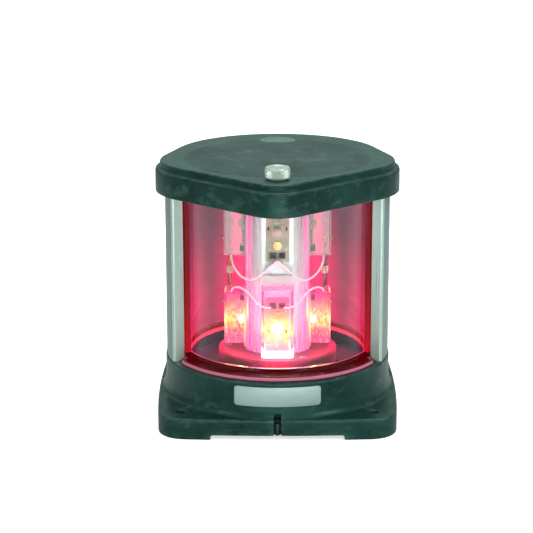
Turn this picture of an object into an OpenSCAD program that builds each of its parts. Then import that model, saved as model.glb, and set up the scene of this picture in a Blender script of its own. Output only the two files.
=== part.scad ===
// Ship's navigation light: square plastic base, clear drum lens, aluminium rear
// shell, hinged lid held shut by a captive thumb screw, and a two-tier LED module.
// Origin: centre of the bolt square on the mounting surface. Front is -Y.

/* [Base] */
// Width and depth of the base flange across the middle of its sides
flange_w = 229; // [228:1:232]
// Radius of the flange corners
flange_corner_r = 26; // [20:1:28]
// Radius of the slight outward curve of the flange sides
flange_side_r = 1200; // [1000:100:2000]
// Height of the top of the flange
flange_top = 20; // [16:1:22]
// Height of the feet under the flange
foot_h = 5; // [4.5:0.5:6]
// Half width of the arch between two feet
arch_half = 62; // [40:1:70]
// Spacing of the four mounting bolts
bolt_spacing = 180; // [176:1:184]
// Radius of each mounting bolt hole
bolt_hole_r = 4.5; // [3.5:0.5:5.5]
// Outer radius of the drum above the flange
drum_r = 108; // [107.5:0.5:108.5]
// Height of the top of the drum
drum_top = 53.5; // [53:0.5:54]

/* [Lens] */
// Outer radius of the drum lens
lens_r = 90; // [88:0.5:91]
// Wall thickness of the drum lens
lens_wall = 5; // [3:0.5:5.5]
// Radius of the foot flange of the lens
lens_foot_r = 103; // [100:0.5:103]
// Outer radius of the aluminium rear shell
shell_r = 107; // [106.5:0.5:107.5]
// Thickness of the rear shell
shell_t = 2; // [1:0.5:2.5]
// Half angle of the clear sector, measured from the front
clear_half_angle = 69; // [60:1:72]

/* [Lid] */
// Height of the bottom edge of the lid rim
rim_bottom = 213; // [211:0.5:214]
// Height of the shoulder between the rim and the top plate
rim_top = 236; // [234:0.5:237]
// Height of the edge of the top plate
plate_top = 242.5; // [241:0.5:243]
// Rise of the dome above the plate edge
dome_h = 4; // [2:0.5:5]
// Thickness of the rim and plate
lid_t = 3.5; // [2.5:0.5:4]
// Distance of the thumb screw in front of the centre
screw_y = 97; // [94:0.5:97]
// Radius of the knurled head of the thumb screw
head_r = 11.5; // [9:0.5:12]

/* [LED module] */
// Radius of the module's foot disc
disc_r = 57; // [54:1:60]
// Height of the top of the foot disc
disc_top = 58.5; // [58:0.5:60]
// Radius of the heat sink column
column_r = 34; // [33:0.5:35]
// Distance of the column's flats from the axis
column_flat = 30.5; // [29:0.5:31]
// Height of the plane that mirrors the two LED tiers
mid_z = 131.5; // [130:0.5:133]

/* [Hidden] */
$fn = 96;
eps = 0.01;

plastic = "#1f3b36";
clear_red = "#e08088";
metal = "#b9c0be";
bright = "#e4e6e2";
rubber = "#1b1b1b";
board_colour = "#cdbf9a";

// base
flange_half = flange_w / 2;
deck_top = 44;
deck_t = 3;
deck_under = deck_top - deck_t;
drum_edge = 2;
cavity_r = 84;
cover_r = 87.8;
cover_z = 8;
cover_t = 2.5;
cover_gap = 0.2;
cover_grooves = [30, 50];
cover_screw_len = 11;
seal_t = 1;
ledge_z = cover_z + cover_t + seal_t;
flare_h = 16;
flare_out = 4.5;
boss_r = 5;
boss_at = 80.5;
boss_angles = [45, 135, 225, 315];
small_screw_r = 2;
small_head_r = 4;
small_head_h = 2.5;
slot_w = 7;
slot_depth = 3.5;
slot_rise = 3;
mark_r = 2.2;
mark_h = 11;
wire_way_r = 10;
earth_at = [-55, 30];
block_size = [48, 18, 15];
block_y = 12;
block_pitch = 12;
driver_size = [84, 46, 22];
driver_y = -52;
groove_pitch = 8;
seal_groove = 1.5;
label_w = 80;
label_t = 0.8;
label_z0 = 31;
label_h = 18.5;
label_corner = 3;
label_gap = 0.5;

// cable entry
gland_z = 31;
gland_thread_r = 8;
gland_pad_y = 111.2;
gland_pad_r = 12;
gland_wall_y = 82;
gland_hex_r = 11.5;
cable_r = 5;
gland_seal_t = 1.5;
gland_hex_h = 5;
pad_step = 0.1;

// lens and shell
lens_in = lens_r - lens_wall;
lens_top = 214;
frame_z = 216;
frame_t = 5;
frame_top = frame_z + frame_t;
foot_t = 4;
foot_blend = 4;
foot_edge = 0.8;
foot_rear_r = 95.5;
foot_half_angle = 63;
foot_top = drum_top + foot_t + foot_blend;
rod_at = 100;
rod_r = 2.5;
rod_angles = [76, 150, 210, 284];
frame_in_r = 78;
frame_gap = 1.2;
ear_r = 9.5;
bush_r = 6;
bush_top = 225.5;
bush_bore_r = 3.5;

// hinge
hinge_y = 116.5;
hinge_z = 221.5;
knuckle_r = 4;
pin_r = 2;
pin_clear = 0.05;
knuckle_gap = 0.4;
leaf_half = 6;
hinge_half = 14;
strap_half = 14;
strap_t = 2;
bracket_y = 93;
leaf_y = 96;
hinge_screw_x = 8;
hinge_screw_y = 98;
hinge_screw_r = 1.5;

// lid plan: nose, side and back arcs joined by their tangents
nose = [0, -97, 30];
side = [50.5, -3, 65.2];
back = [0, 24, 104.5];
shoulder = 4.5;
dome_r = 88;
plate_under = plate_top - lid_t - 0.5;
plate_seat = rim_top - lid_t;
gasket_r = 83.5;
gasket_w = 5;
gasket_t = 3;
plug_y = 84;
plug_r = 17.5;

// thumb screw
pad_top = 242.7;
pad_r = 12.5;
shank_gap = 0.4;
washer_t = 1;
head_z = pad_top + washer_t;
head_h = 10.3;
shank_r = 3;
shank_bottom = 217.5;
ring_z = 226;
knurls = 40;

// LED module
board_t = 1.6;
board_w = 22;
tier_led = 47.5;
tier_screw = 34;
tier_conn = 24.5;
board_near = 18;
board_far = 73;
led_r = 4.6;
cover_wall = 1.6;
cover_reach = 51;
side_cover_half = 13;
front_cover_half = 15;
front_cover_reach = 50;
side_lower = [64, 114];
side_upper = [151, 201];
front_lower = [60, 127];
faces = [0, -90, 90];
wire_r = 0.9;

module ring(r_out, r_in, z0, z1) {
    translate([0, 0, z0]) difference() {
        cylinder(r = r_out, h = z1 - z0);
        translate([0, 0, -1]) cylinder(r = r_in, h = z1 - z0 + 2);
    }
}

module rounded_rect(w, d, r) {
    square([w - 2 * r, d], center = true);
    square([w, d - 2 * r], center = true);
    for (sx = [-1, 1], sy = [-1, 1]) {
        translate([sx * (w / 2 - r), sy * (d / 2 - r)]) circle(r = r);
    }
}

function turned(p, angle) =
    [p[0] * cos(angle) - p[1] * sin(angle), p[0] * sin(angle) + p[1] * cos(angle)];
// points of an arc about a centre, from one direction to another
function arc(centre, r, from, to, steps) = [for (i = [0 : steps])
    let (a = from + (to - from) * i / steps) [centre[0] + r * cos(a), centre[1] + r * sin(a)]];

// square plan with slightly bowed sides and round corners
module flange_outline() {
    far = flange_side_r - flange_half;
    corner = (sqrt(2 * pow(flange_side_r - flange_corner_r, 2) - far * far) - far) / 2;
    reach = atan2(corner, corner + far);
    edge = concat(
        arc([-far, 0], flange_side_r, -reach, reach, 6),
        arc([corner, corner], flange_corner_r, reach + 8, 82 - reach, 9)
    );
    polygon([for (turn = [0 : 90 : 270], p = edge) turned(p, turn)]);
}

module at_angles(angles, radius) {
    for (a = angles) rotate([0, 0, a - 90]) translate([radius, 0, 0]) children();
}

// direction of the outward tangent normal from one circle to the next
function tangent_dir(a, b) =
    let (d = [b[0] - a[0], b[1] - a[1]])
    atan2(d[1], d[0]) - acos((a[2] - b[2]) / norm(d));
function flip(points) = [for (i = [len(points) - 2 : -1 : 1]) [-points[i][0], points[i][1]]];

module lid_outline(grow) {
    front_dir = tangent_dir(nose, side);
    rear_dir = tangent_dir(side, back);
    half = concat(
        arc(nose, nose[2] + grow, -90, front_dir, 8),
        arc(side, side[2] + grow, front_dir, rear_dir, 14),
        arc(back, back[2] + grow, rear_dir, 90, 14)
    );
    polygon(concat(half, flip(half)));
}

module hex(r, h) {
    cylinder(r = r, h = h, $fn = 6);
}

module pan_screw(shaft_r, shaft_len, head_radius, head_height) {
    translate([0, 0, -shaft_len]) cylinder(r = shaft_r, h = shaft_len + eps);
    difference() {
        cylinder(r = head_radius, h = head_height);
        translate([0, 0, head_height - 1]) hex(head_radius * 0.5, 2);
    }
}

module bolt_places() {
    for (sx = [-1, 1], sy = [-1, 1]) {
        translate([sx * bolt_spacing / 2, sy * bolt_spacing / 2, 0]) children();
    }
}

// the four feet that the flange stands on
module base_feet() {
    color(plastic) difference() {
        linear_extrude(foot_h) flange_outline();
        // arches between the feet, both ways
        for (a = [0, 90]) rotate([0, 0, a])
            translate([-arch_half, -flange_w, -1]) cube([2 * arch_half, 2 * flange_w, foot_h + 2]);
        translate([0, 0, -1]) cylinder(r = cover_r + cover_gap, h = foot_h + 2);
        bolt_places() translate([0, 0, -1]) cylinder(r = bolt_hole_r, h = foot_h + 2);
    }
}

module base_flange() {
    color(plastic) difference() {
        translate([0, 0, foot_h]) linear_extrude(flange_top - foot_h) flange_outline();
        translate([0, 0, -1]) cylinder(r = cavity_r, h = flange_top + 2);
        translate([0, 0, -1]) cylinder(r = cover_r + cover_gap, h = ledge_z + 1);
        at_angles(boss_angles, boss_at) cylinder(r = boss_r, h = flange_top + 1);
        bolt_places() cylinder(r = bolt_hole_r, h = flange_top + 1);
        index_slot();
    }
}

// narrow slot for the centre mark at the front
module index_slot() {
    translate([-slot_w / 2, -flange_half - 1, 0]) cube([slot_w, slot_depth + 1, flange_top + slot_rise]);
}

module base_drum() {
    color(plastic) difference() {
        union() {
            rotate_extrude() polygon(concat(
                [[0, flange_top]],
                [for (a = [0 : 15 : 90])
                    [drum_r + flare_out * (1 - sin(a)), flange_top + flare_h * (1 - cos(a))]],
                [[drum_r, drum_top - drum_edge], [drum_r - drum_edge, drum_top], [0, drum_top]]
            ));
            intersection() {
                along_gland(cavity_r) cylinder(r = gland_pad_r, h = gland_pad_y - cavity_r);
                translate([-gland_pad_r, 0, flange_top]) cube([2 * gland_pad_r, drum_r * 2, drum_r]);
            }
            at_angles(boss_angles, boss_at)
                translate([0, 0, ledge_z]) cylinder(r = boss_r, h = flange_top - ledge_z + 1);
        }
        // room for the deck and the space above it
        translate([0, 0, deck_under]) cylinder(r = cavity_r, h = drum_top);
        // wiring space, with its screw bosses and the inner pad of the gland left standing
        difference() {
            cylinder(r = cavity_r, h = deck_under + 1);
            at_angles(boss_angles, boss_at) cylinder(r = boss_r, h = drum_top);
            along_gland(gland_wall_y) cylinder(r = gland_pad_r - pad_step, h = 10);
        }
        at_angles(boss_angles, boss_at)
            translate([0, 0, ledge_z - 1]) cylinder(r = small_screw_r, h = cover_screw_len);
        // seal groove and tie rod sockets
        ring(lens_r + 1, lens_r - 3, drum_top - seal_groove, drum_top + 1);
        at_angles(rod_angles, rod_at) translate([0, 0, deck_top]) cylinder(r = rod_r, h = 20);
        label_window(drum_r + 10, drum_r, label_gap);
        along_gland(gland_wall_y - 1) cylinder(r = gland_thread_r, h = 40);
        index_slot();
    }
}

module base_deck() {
    color(plastic) difference() {
        translate([0, 0, deck_under]) cylinder(r = cavity_r, h = deck_t);
        // wire way, and the hole for the earth screw
        cylinder(r = wire_way_r, h = drum_top);
        translate([earth_at[0], earth_at[1], 0]) cylinder(r = small_screw_r, h = deck_under + 2);
    }
}

module base_cover() {
    color("#30403c") difference() {
        translate([0, 0, cover_z]) cylinder(r = cover_r, h = cover_t);
        at_angles(boss_angles, boss_at)
            cylinder(r = small_screw_r, h = ledge_z + 1);
        // stiffening grooves
        for (r = cover_grooves) ring(r + 3, r, cover_z - 1, cover_z + 1);
    }
}

module base_cover_seal() {
    color(rubber) ring(cover_r, cavity_r, cover_z + cover_t, ledge_z);
}

module base_cover_screws() {
    color(metal) at_angles(boss_angles, boss_at)
        translate([0, 0, cover_z]) rotate([180, 0, 0])
            pan_screw(small_screw_r, cover_screw_len, small_head_r, small_head_h);
}

// the part of the drum's front face that the nameplate covers, from radius r_in to r_out
module label_window(r_out, r_in, margin) {
    intersection() {
        ring(r_out, r_in, label_z0 - 5, label_z0 + label_h + 5);
        translate([0, 0, label_z0 + label_h / 2]) rotate([90, 0, 0])
            linear_extrude(2 * drum_r)
                rounded_rect(label_w + 2 * margin, label_h + 2 * margin, label_corner + margin);
    }
}

module nameplate() {
    color("#cfdcd4") label_window(drum_r + label_t, drum_r, 0);
}

module centre_mark_pin() {
    color("#6f7a76") translate([0, -flange_half + slot_depth - mark_r, foot_h + 0.5]) {
        cylinder(r = mark_r, h = mark_h - 1);
        translate([0, 0, mark_h - 1]) cylinder(r1 = mark_r, r2 = mark_r - 0.8, h = 1);
    }
}

module terminal_block() {
    w = block_size[0];
    d = block_size[1];
    h = block_size[2];
    floor_z = deck_under - h;
    color("#e9e7dc") difference() {
        translate([-w / 2, block_y, floor_z]) cube(block_size);
        for (x = [-1.5 * block_pitch : block_pitch : 1.5 * block_pitch]) {
            // wire entry, and the screw way from below
            translate([x, block_y - 1, floor_z + h * 0.4]) rotate([-90, 0, 0]) cylinder(r = 2, h = d + 2);
            translate([x, block_y + d / 2, floor_z - 1]) cylinder(r = 1.8, h = h * 0.4 + 1);
        }
    }
}

module led_driver() {
    w = driver_size[0];
    d = driver_size[1];
    h = driver_size[2];
    floor_z = deck_under - h;
    color("#d8d8d4") difference() {
        translate([-w / 2, driver_y, floor_z]) cube(driver_size);
        // notches for its screws, and grooves in its underside
        for (sx = [-1, 1])
            translate([sx * w / 2, driver_y + d / 2, floor_z - 1]) cylinder(r = 4, h = h + 2);
        for (x = [-3 * groove_pitch : groove_pitch : 3 * groove_pitch])
            translate([x - 1.5, driver_y - 1, floor_z - 1]) cube([3, d + 2, 3]);
    }
}

module earth_screw() {
    color("#c9a24a") translate([earth_at[0], earth_at[1], deck_under]) rotate([180, 0, 0])
        pan_screw(small_screw_r, 1, small_head_r + 1, 3);
}

module along_gland(y) {
    translate([0, y, gland_z]) rotate([-90, 0, 0]) children();
}

module gland_body() {
    color("#3a3f40") difference() {
        union() {
            along_gland(gland_wall_y - 6) cylinder(r = gland_thread_r, h = 50);
            along_gland(gland_pad_y + gland_seal_t) hex(gland_hex_r, gland_hex_h);
        }
        along_gland(gland_wall_y - 7) cylinder(r = cable_r, h = 60);
    }
}

module gland_nut() {
    y0 = gland_pad_y + gland_seal_t + gland_hex_h;
    color("#3a3f40") difference() {
        union() {
            along_gland(y0) hex(gland_hex_r, 8);
            along_gland(y0 + 8) cylinder(r1 = 9.8, r2 = 7, h = 4);
        }
        along_gland(y0 - 1) cylinder(r = gland_thread_r, h = 10.5);
        along_gland(y0) cylinder(r = cable_r, h = 20);
    }
}

module gland_seal() {
    color(rubber) along_gland(gland_pad_y) difference() {
        cylinder(r = gland_hex_r - 1.5, h = gland_seal_t);
        translate([0, 0, -1]) cylinder(r = gland_thread_r, h = 5);
    }
}

module gland_locknut() {
    color("#3a3f40") along_gland(gland_wall_y - gland_hex_h) difference() {
        hex(gland_hex_r, gland_hex_h);
        translate([0, 0, -1]) cylinder(r = gland_thread_r, h = 7);
    }
}

module lens() {
    color(clear_red, 0.5) ring(lens_r, lens_in, foot_top, lens_top);
}

// wide foot of the lens, which blends into its wall
module lens_foot() {
    rim_z = drum_top + foot_t;
    color(clear_red, 0.5) difference() {
        rotate_extrude() polygon(concat(
            [[lens_in, drum_top], [lens_foot_r - foot_edge, drum_top]],
            [[lens_foot_r, drum_top + foot_edge], [lens_foot_r, rim_z]],
            [for (a = [0 : 15 : 90])
                [lens_r + (lens_foot_r - 2 - lens_r) * (1 - sin(a)), rim_z + foot_blend * (1 - cos(a))]],
            [[lens_in, foot_top]]
        ));
        // it is wide only in front of the posts
        rotate([0, 0, -90 + foot_half_angle]) rotate_extrude(angle = 360 - 2 * foot_half_angle)
            translate([foot_rear_r, drum_top - 1]) square([20, foot_t + foot_blend + 2]);
    }
}

module lens_base_seal() {
    color(rubber) ring(lens_r + 1, lens_r - 3, drum_top - seal_groove, drum_top);
}

module lens_top_seal() {
    color(rubber) ring(lens_r + 1, lens_in, lens_top, frame_z);
}

module lens_side_seals() {
    color("#5a0f16") for (side_sign = [-1, 1]) {
        rotate([0, 0, -90 + side_sign * (clear_half_angle - 1)])
            translate([lens_r + 2.4, 0, (lens_top + foot_top) / 2])
                cube([4.4, 7, lens_top - foot_top], center = true);
    }
}

module rear_shell() {
    color(metal) rotate([0, 0, clear_half_angle - 90]) rotate_extrude(angle = 360 - 2 * clear_half_angle)
        translate([shell_r - shell_t, drum_top]) square([shell_t, frame_z - drum_top]);
}

// right-hand post: a folded section with a front lip and an inner return
module post() {
    lip_corner_r = 7;
    color(bright) difference() {
        translate([0, 0, drum_top]) linear_extrude(frame_z - drum_top) polygon([
            [88.6, -37.2], [96.4, -41.3], [97.8, -41.5], [98.8, -40.6], [99.7, -38.6],
            [97.8, -37.9], [97.0, -38.8], [91.2, -35.8], [92.4, -32.2], [90.6, -31.6]
        ]);
        // rounded lower inner corner of the lip
        translate([0, -20, 0]) rotate([90, 0, 0]) linear_extrude(40) difference() {
            translate([86, drum_top - 1]) square([lip_corner_r, lip_corner_r - 1]);
            translate([88 + lip_corner_r, drum_top + lip_corner_r]) circle(r = lip_corner_r);
            translate([95, 0]) square(200);
        }
    }
}

module post_right() {
    post();
}

module post_left() {
    mirror([1, 0, 0]) post();
}

module tie_rods() {
    color(metal) at_angles(rod_angles, rod_at)
        translate([0, 0, deck_top]) cylinder(r = rod_r, h = frame_top + 6 - deck_top);
}

module tie_nuts() {
    color(metal) at_angles(rod_angles, rod_at) translate([0, 0, frame_top]) difference() {
        hex(4.6, 4);
        translate([0, 0, -1]) cylinder(r = rod_r, h = 7);
    }
}

module top_frame() {
    color("#2b3a38") difference() {
        union() {
            intersection() {
                ring(shell_r, frame_in_r, frame_z, frame_top);
                translate([0, 0, frame_z - 1]) linear_extrude(frame_t + 2)
                    lid_outline(-lid_t - frame_gap);
            }
            translate([0, -screw_y, frame_z]) cylinder(r = ear_r, h = frame_t);
        }
        translate([0, -screw_y, 0]) cylinder(r = bush_r, h = 300);
        at_angles(rod_angles, rod_at) cylinder(r = rod_r, h = 300);
        hinge_screw_places() cylinder(r = hinge_screw_r, h = frame_top + 1);
    }
}

module threaded_bush() {
    color("#c9a24a") translate([0, -screw_y, 0]) {
        ring(bush_r, bush_bore_r, frame_z, frame_top);
        ring(bush_r + 1.5, bush_bore_r, frame_top, bush_top);
    }
}

module knuckle(x0, x1) {
    translate([x0, hinge_y, hinge_z]) rotate([0, 90, 0]) cylinder(r = knuckle_r, h = x1 - x0);
}

module pin_hole(r) {
    translate([-50, hinge_y, hinge_z]) rotate([0, 90, 0]) cylinder(r = r, h = 100);
}

module hinge_screw_places() {
    for (sx = [-1, 1]) translate([sx * hinge_screw_x, hinge_screw_y, 0]) children();
}

module hinge_bracket() {
    inner = leaf_half + knuckle_gap;
    color(metal) difference() {
        union() {
            translate([-strap_half, bracket_y, frame_top])
                cube([2 * strap_half, hinge_y - knuckle_r - 1.5 - bracket_y, strap_t]);
            for (x0 = [-hinge_half, inner]) {
                knuckle(x0, x0 + hinge_half - inner);
                translate([x0, hinge_y - 12, frame_top]) cube([hinge_half - inner, 12, strap_t]);
            }
        }
        pin_hole(pin_r);
        translate([-inner, hinge_y - knuckle_r - 2, frame_z]) cube([2 * inner, 20, 40]);
        hinge_screw_places() cylinder(r = hinge_screw_r, h = frame_top + strap_t + 1);
    }
}

module hinge_screws() {
    color(metal) hinge_screw_places() translate([0, 0, frame_top + strap_t])
        pan_screw(hinge_screw_r, 6, 2.8, 1.8);
}

module hinge_pin() {
    color(bright) translate([-hinge_half - 0.6, hinge_y, hinge_z]) rotate([0, 90, 0])
        cylinder(r = pin_r, h = 2 * hinge_half + 1.2);
}

module hinge_leaf() {
    color(metal) difference() {
        union() {
            knuckle(-leaf_half, leaf_half);
            translate([-leaf_half, hinge_y - 2, hinge_z])
                cube([2 * leaf_half, 3, plate_under - hinge_z]);
            translate([-strap_half, leaf_y, plate_under - strap_t])
                cube([2 * strap_half, hinge_y - 0.5 - leaf_y, strap_t]);
        }
        pin_hole(pin_r + pin_clear);
    }
}

// top plate of the lid, from the top of the rim's wall upward
module lid() {
    color(plastic) difference() {
        union() {
            difference() {
                union() {
                    translate([0, 0, plate_seat]) linear_extrude(rim_top - plate_seat) lid_outline(0);
                    translate([0, 0, rim_top - 1]) linear_extrude(plate_top - rim_top + 1)
                        lid_outline(-shoulder);
                }
                translate([0, 0, plate_seat - 1]) linear_extrude(plate_under - plate_seat + 1)
                    lid_outline(-shoulder - lid_t);
            }
            // low dome on the plate
            rotate_extrude() polygon(concat(
                [[0, plate_top - 1], [dome_r, plate_top - 1]],
                [for (i = [0 : 8])
                    [dome_r * (1 - i / 8), plate_top + dome_h * (1 - pow(1 - i / 8, 2))]]
            ));
            // seat of the thumb screw
            translate([0, -screw_y, plate_under]) cylinder(r = pad_r, h = pad_top - plate_under);
        }
        translate([0, -screw_y, 200]) cylinder(r = shank_r + shank_gap, h = 60);
        translate([0, plug_y, plate_top]) cylinder(r = plug_r, h = 10);
    }
}

// wall that hangs from the top plate
module lid_rim() {
    color(plastic) translate([0, 0, rim_bottom]) linear_extrude(plate_seat - rim_bottom)
        difference() {
            lid_outline(0);
            lid_outline(-lid_t);
        }
}

// ring under the plate that presses the gasket
module lid_seal_ring() {
    color(plastic) ring(gasket_r, gasket_r - gasket_w, frame_top + gasket_t, plate_under);
}

module lid_gasket() {
    color(rubber) ring(gasket_r, gasket_r - gasket_w, frame_top, frame_top + gasket_t);
}

module lid_plug() {
    color("#7d9992") translate([0, plug_y, plate_top]) cylinder(r = plug_r, h = 0.9);
}

module thumb_screw() {
    groove = 0.7;
    color(bright) translate([0, -screw_y, 0]) {
        difference() {
            union() {
                translate([0, 0, head_z]) cylinder(r = head_r, h = head_h - 1);
                translate([0, 0, head_z + head_h - 1])
                    cylinder(r1 = head_r, r2 = head_r - 1, h = 1);
            }
            for (i = [0 : knurls - 1]) rotate([0, 0, i * 360 / knurls])
                translate([head_r + 0.25, 0, head_z - 1]) cylinder(r = groove, h = head_h - 1, $fn = 4);
        }
        difference() {
            translate([0, 0, shank_bottom]) cylinder(r = shank_r, h = head_z - shank_bottom + eps);
            ring(shank_r + 1, shank_r - 0.5, ring_z, ring_z + 1);
        }
    }
}

module screw_washer() {
    color(metal) translate([0, -screw_y, 0]) ring(9, shank_r + 0.05, pad_top, head_z);
}

module retaining_ring() {
    color("#50585a") translate([0, -screw_y, ring_z]) difference() {
        cylinder(r = 5, h = 1);
        translate([0, 0, -1]) cylinder(r = shank_r - 0.5, h = 3);
        translate([-1, 0, -1]) cube([2, 8, 3]);
    }
}

module module_disc() {
    color("#8f8489") difference() {
        rotate_extrude() polygon([
            [10, deck_top], [disc_r - 1, deck_top], [disc_r, deck_top + 1],
            [disc_r, disc_top - 1.5], [disc_r - 1.5, disc_top], [10, disc_top]
        ]);
        at_angles([30, 150, 270], 48) translate([0, 0, deck_top + 2]) cylinder(r = 2, h = 30);
        at_angles([30, 150, 270], 48) translate([0, 0, disc_top - 2]) cylinder(r = 4.2, h = 5);
    }
}

module disc_screws() {
    color(metal) at_angles([30, 150, 270], 48) translate([0, 0, disc_top - 2]) pan_screw(2, 9, 4, 2);
}

// a radial pair of cuts gives the column its three flats
module heat_sink() {
    color("#a9a6b0") difference() {
        translate([0, 0, disc_top]) cylinder(r = column_r, h = frame_z - 1 - disc_top);
        for (a = faces) rotate([0, 0, a])
            translate([-60, -60, 0]) cube([120, 60 - column_flat, 300]);
        cylinder(r = 12, h = 300);
        // shallow grooves between the flats
        for (a = [-45, 45], k = [-1, 0, 1])
            rotate([0, 0, a + 12 * k]) translate([-1, -column_r - 1, 0]) cube([2, 3, 300]);
        // open cooling slots at the back
        for (k = [-3 : 3]) rotate([0, 0, 180 + 14 * k])
            translate([-1.5, -column_r - 1, 0]) cube([3, 13, 300]);
        for (tier = [-1, 1], a = faces)
            rotate([0, 0, a]) translate([0, -column_flat + 6, mid_z + tier * tier_screw])
                rotate([90, 0, 0]) cylinder(r = 1.5, h = 20);
    }
}

// a board lies on one flat; tier is 1 for the upper and -1 for the lower
module board(face, tier) {
    z0 = tier > 0 ? mid_z + board_near : mid_z - board_far + 1;
    color(board_colour) rotate([0, 0, face]) difference() {
        translate([-board_w / 2, -column_flat - board_t, z0]) cube([board_w, board_t, board_far - board_near]);
        translate([0, -column_flat + 1, mid_z + tier * tier_screw]) rotate([90, 0, 0])
            cylinder(r = 1.5, h = 20);
    }
}

module upper_boards() {
    for (a = faces) board(a, 1);
}

module lower_boards() {
    for (a = faces) board(a, -1);
}

module led(face, tier) {
    rotate([0, 0, face]) translate([0, -column_flat - board_t, mid_z + tier * tier_led])
        rotate([90, 0, 0]) {
            translate([-5.5, -5.5, 0]) cube([11, 11, 1.2]);
            translate([0, 0, 1]) cylinder(r = led_r, h = 1);
            translate([0, 0, 2 - eps]) intersection() {
                translate([0, 0, -1]) sphere(r = led_r);
                cylinder(r = led_r, h = led_r);
            }
        }
}

module upper_leds() {
    color("#efe6bd") for (a = faces) led(a, 1);
}

module lower_leds() {
    color("#ff3038") for (a = faces) led(a, -1);
}

module board_screws() {
    color("#b08d57") for (a = faces, tier = [-1, 1])
        rotate([0, 0, a]) translate([0, -column_flat - board_t, mid_z + tier * tier_screw])
            rotate([90, 0, 0]) {
                translate([0, 0, -7]) cylinder(r = 1.5, h = 8);
                hex(4.6, 2.6);
            }
}

module board_connectors() {
    color("#202022") for (a = faces, tier = [-1, 1], sx = [-1, 1])
        rotate([0, 0, a]) translate([sx * 4.2 - 3, -column_flat - board_t - 4, mid_z + tier * tier_conn - 2.5])
            difference() {
                cube([6, 4, 5]);
                translate([1, -1, 1]) cube([4, 3, 3]);
            }
}

// a clear cover: a box open towards its board, closed at both ends
module optic_cover(half, reach, z_range) {
    inner_y = column_flat + board_t;
    h = z_range[1] - z_range[0];
    depth = reach - inner_y;
    difference() {
        translate([0, -inner_y - depth / 2, z_range[0]])
            linear_extrude(h) rounded_rect(2 * half, depth, 3);
        translate([0, -inner_y - (depth - cover_wall) / 2 + 2, z_range[0] + cover_wall])
            linear_extrude(h - 2 * cover_wall)
                rounded_rect(2 * (half - cover_wall), depth - cover_wall + 4, 2);
    }
}

module cover_front_lower() {
    color("#ffe6ea", 0.5) optic_cover(front_cover_half, front_cover_reach, front_lower);
}

module cover_left_lower() {
    color("#ffd0d8", 0.5) rotate([0, 0, faces[1]]) optic_cover(side_cover_half, cover_reach, side_lower);
}

module cover_right_lower() {
    color("#ffd0d8", 0.5) rotate([0, 0, faces[2]]) optic_cover(side_cover_half, cover_reach, side_lower);
}

module cover_left_upper() {
    color("#ffffff", 0.5) rotate([0, 0, faces[1]]) optic_cover(side_cover_half, cover_reach, side_upper);
}

module cover_right_upper() {
    color("#ffffff", 0.5) rotate([0, 0, faces[2]]) optic_cover(side_cover_half, cover_reach, side_upper);
}

module cover_screws() {
    color("#c9a24a") for (a = [faces[1], faces[2]], z = [165, 102])
        rotate([0, 0, a]) translate([0, -cover_reach, z]) rotate([90, 0, 0])
            pan_screw(0.1, 0.01, 3, 1.6);
}

module module_band() {
    color("#f2f2f2") translate([-14, -column_flat - 5.5, mid_z - 2.5]) cube([28, 5.5, 8]);
}

module tent_reflector() {
    base_z = mid_z + 8.5;
    tent_h = 13;
    leg = 2.6;
    color("#f8f8f8") translate([0, -column_flat - board_t, 0]) rotate([90, 0, 0])
        linear_extrude(11) polygon([
            [-14, base_z], [-14 + leg * 2, base_z], [0, base_z + tent_h - leg],
            [14 - leg * 2, base_z], [14, base_z], [1.5, base_z + tent_h], [-1.5, base_z + tent_h]
        ]);
}

// a round wire swept along a list of points
function unit(v) = v / norm(v);
function heading(p, i) = unit(p[min(i + 1, len(p) - 1)] - p[max(i - 1, 0)]);
function across(d) = unit(cross(d, abs(d[2]) > 0.9 ? [0, 1, 0] : [0, 0, 1]));
module wire(p, r) {
    sides = 8;
    last = len(p) - 1;
    points = [for (i = [0 : last], k = [0 : sides - 1])
        let (d = heading(p, i), u = across(d), v = cross(d, u), a = k * 360 / sides)
        p[i] + r * (u * cos(a) + v * sin(a))];
    walls = [for (i = [0 : last - 1], k = [0 : sides - 1])
        let (n = (k + 1) % sides)
        [i * sides + k, (i + 1) * sides + k, (i + 1) * sides + n, i * sides + n]];
    caps = [[for (k = [0 : sides - 1]) k], [for (k = [sides - 1 : -1 : 0]) last * sides + k]];
    polyhedron(points, concat(walls, caps));
}
function mirror_x(p) = [for (q = p) [-q[0], q[1], q[2]]];

upper_link = [[-44, -10, 150.5], [-44, -14, 146], [-40, -24, 139], [-33, -33, 134], [-25, -40, 133],
    [-19, -43, 136], [-15, -44, 140], [-10, -44.5, 145], [-5, -45, 150]];
lower_link = [[-44, -14, 116], [-43, -18, 120], [-39, -25, 123.5], [-33, -33, 124], [-27, -39, 121],
    [-22, -44, 116], [-18, -49, 112], [-13, -52, 110], [-6, -52, 110]];
supply_line = [[-45, -6, 150.5], [-46, -6, 146], [-46, -6, 138], [-45.6, -6, 130], [-44.4, -6, 120],
    [-44, -6, 114.5]];

module link_wires() {
    color("#ffffff") for (p = [upper_link, lower_link]) {
        wire(p, wire_r);
        wire(mirror_x(p), wire_r);
    }
}

module supply_wires() {
    color("#e07028") wire(supply_line, wire_r);
    color("#8a9498") wire(mirror_x(supply_line), wire_r);
}

module wire_ferrites() {
    color("#e8d2c0") for (sx = [-1, 1]) translate([sx * 45.5, -6, 132]) difference() {
        for (a = [0, 45]) rotate([0, 0, a]) translate([-2.5, -2.5, 0]) cube([5, 5, 7]);
        translate([0, 0, -1]) cylinder(r = wire_r + 0.6, h = 9);
    }
}

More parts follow.
